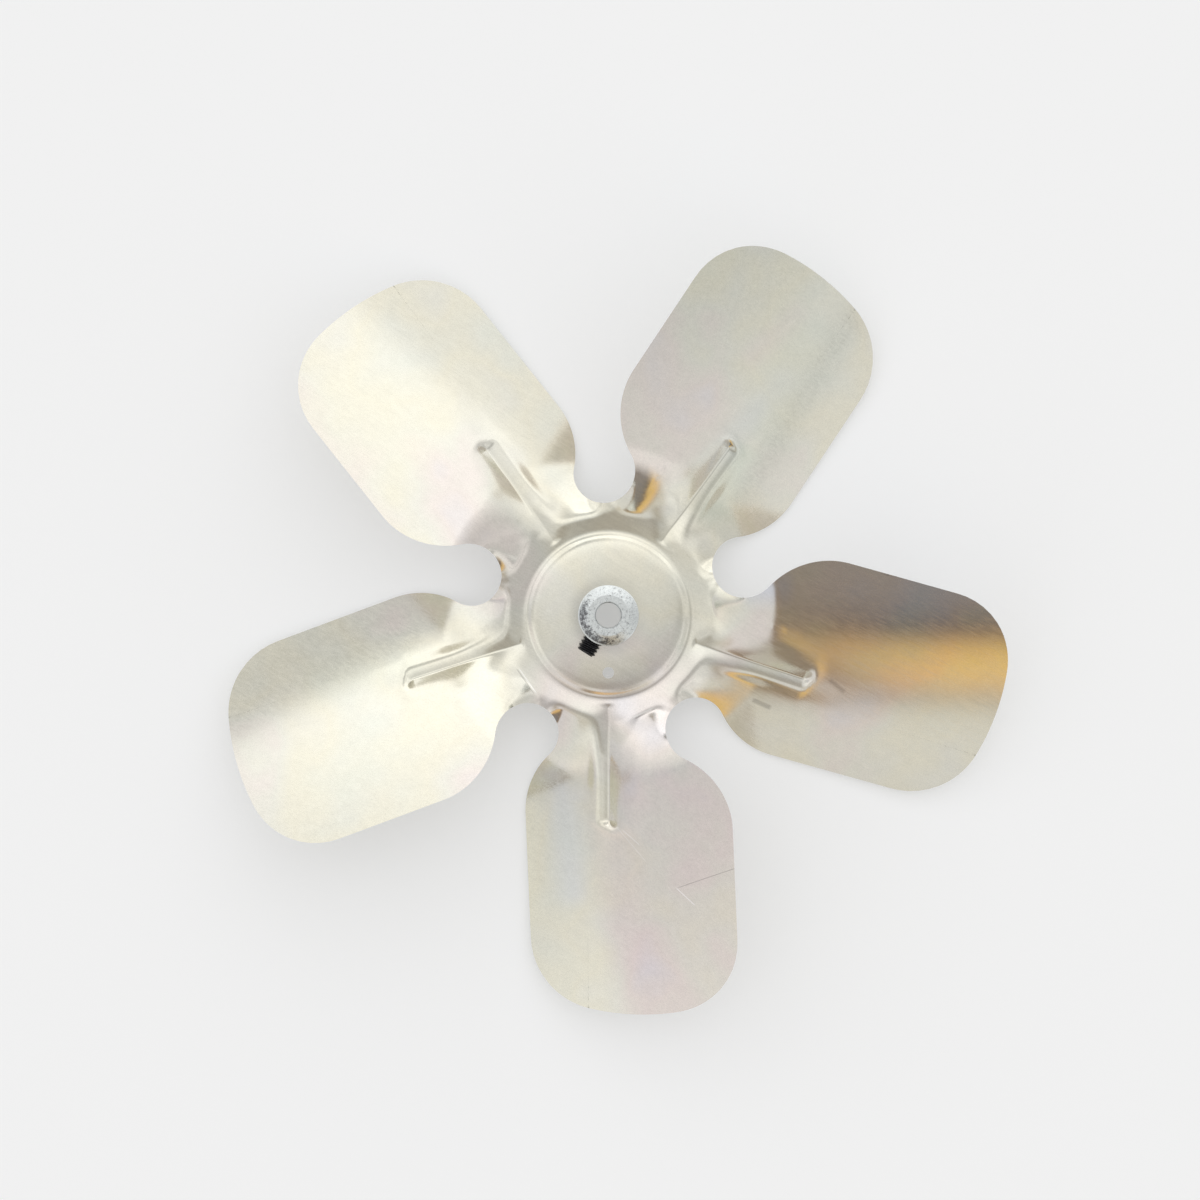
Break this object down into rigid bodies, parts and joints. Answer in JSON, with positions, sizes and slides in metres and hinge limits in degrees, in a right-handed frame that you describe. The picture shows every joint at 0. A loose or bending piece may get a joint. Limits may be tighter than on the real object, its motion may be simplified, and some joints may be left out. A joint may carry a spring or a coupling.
{
  "type": "axial fan impeller",
  "caption": "Pressed sheet-steel axial fan impeller with pitched blades, a staked steel hub with a shaft bore, and a set screw.",
  "frame": {"origin": "on the shaft axis, in the face of the centre disc that the hub's shoulder seats on", "axes": "+Z along the shaft axis, out of the hub's free end; -Y runs along the groove of the first blade, in line with the disc's index hole"},
  "size_m": [0.247, 0.2424, 0.0363],
  "materials": {
    "passivated_sheet": "zinc-plated sheet with a faint straw, pink and blue passivated sheen, satin",
    "plated_hub": "bright zinc plating, turned and tumbled, with small dark dents",
    "black_screw": "black oxide, slightly oily satin"
  },
  "bodies": {
    "root": {"blade_spider": "passivated_sheet", "hub": "plated_hub", "set_screw": "black_screw"}
  },
  "joints": []
}
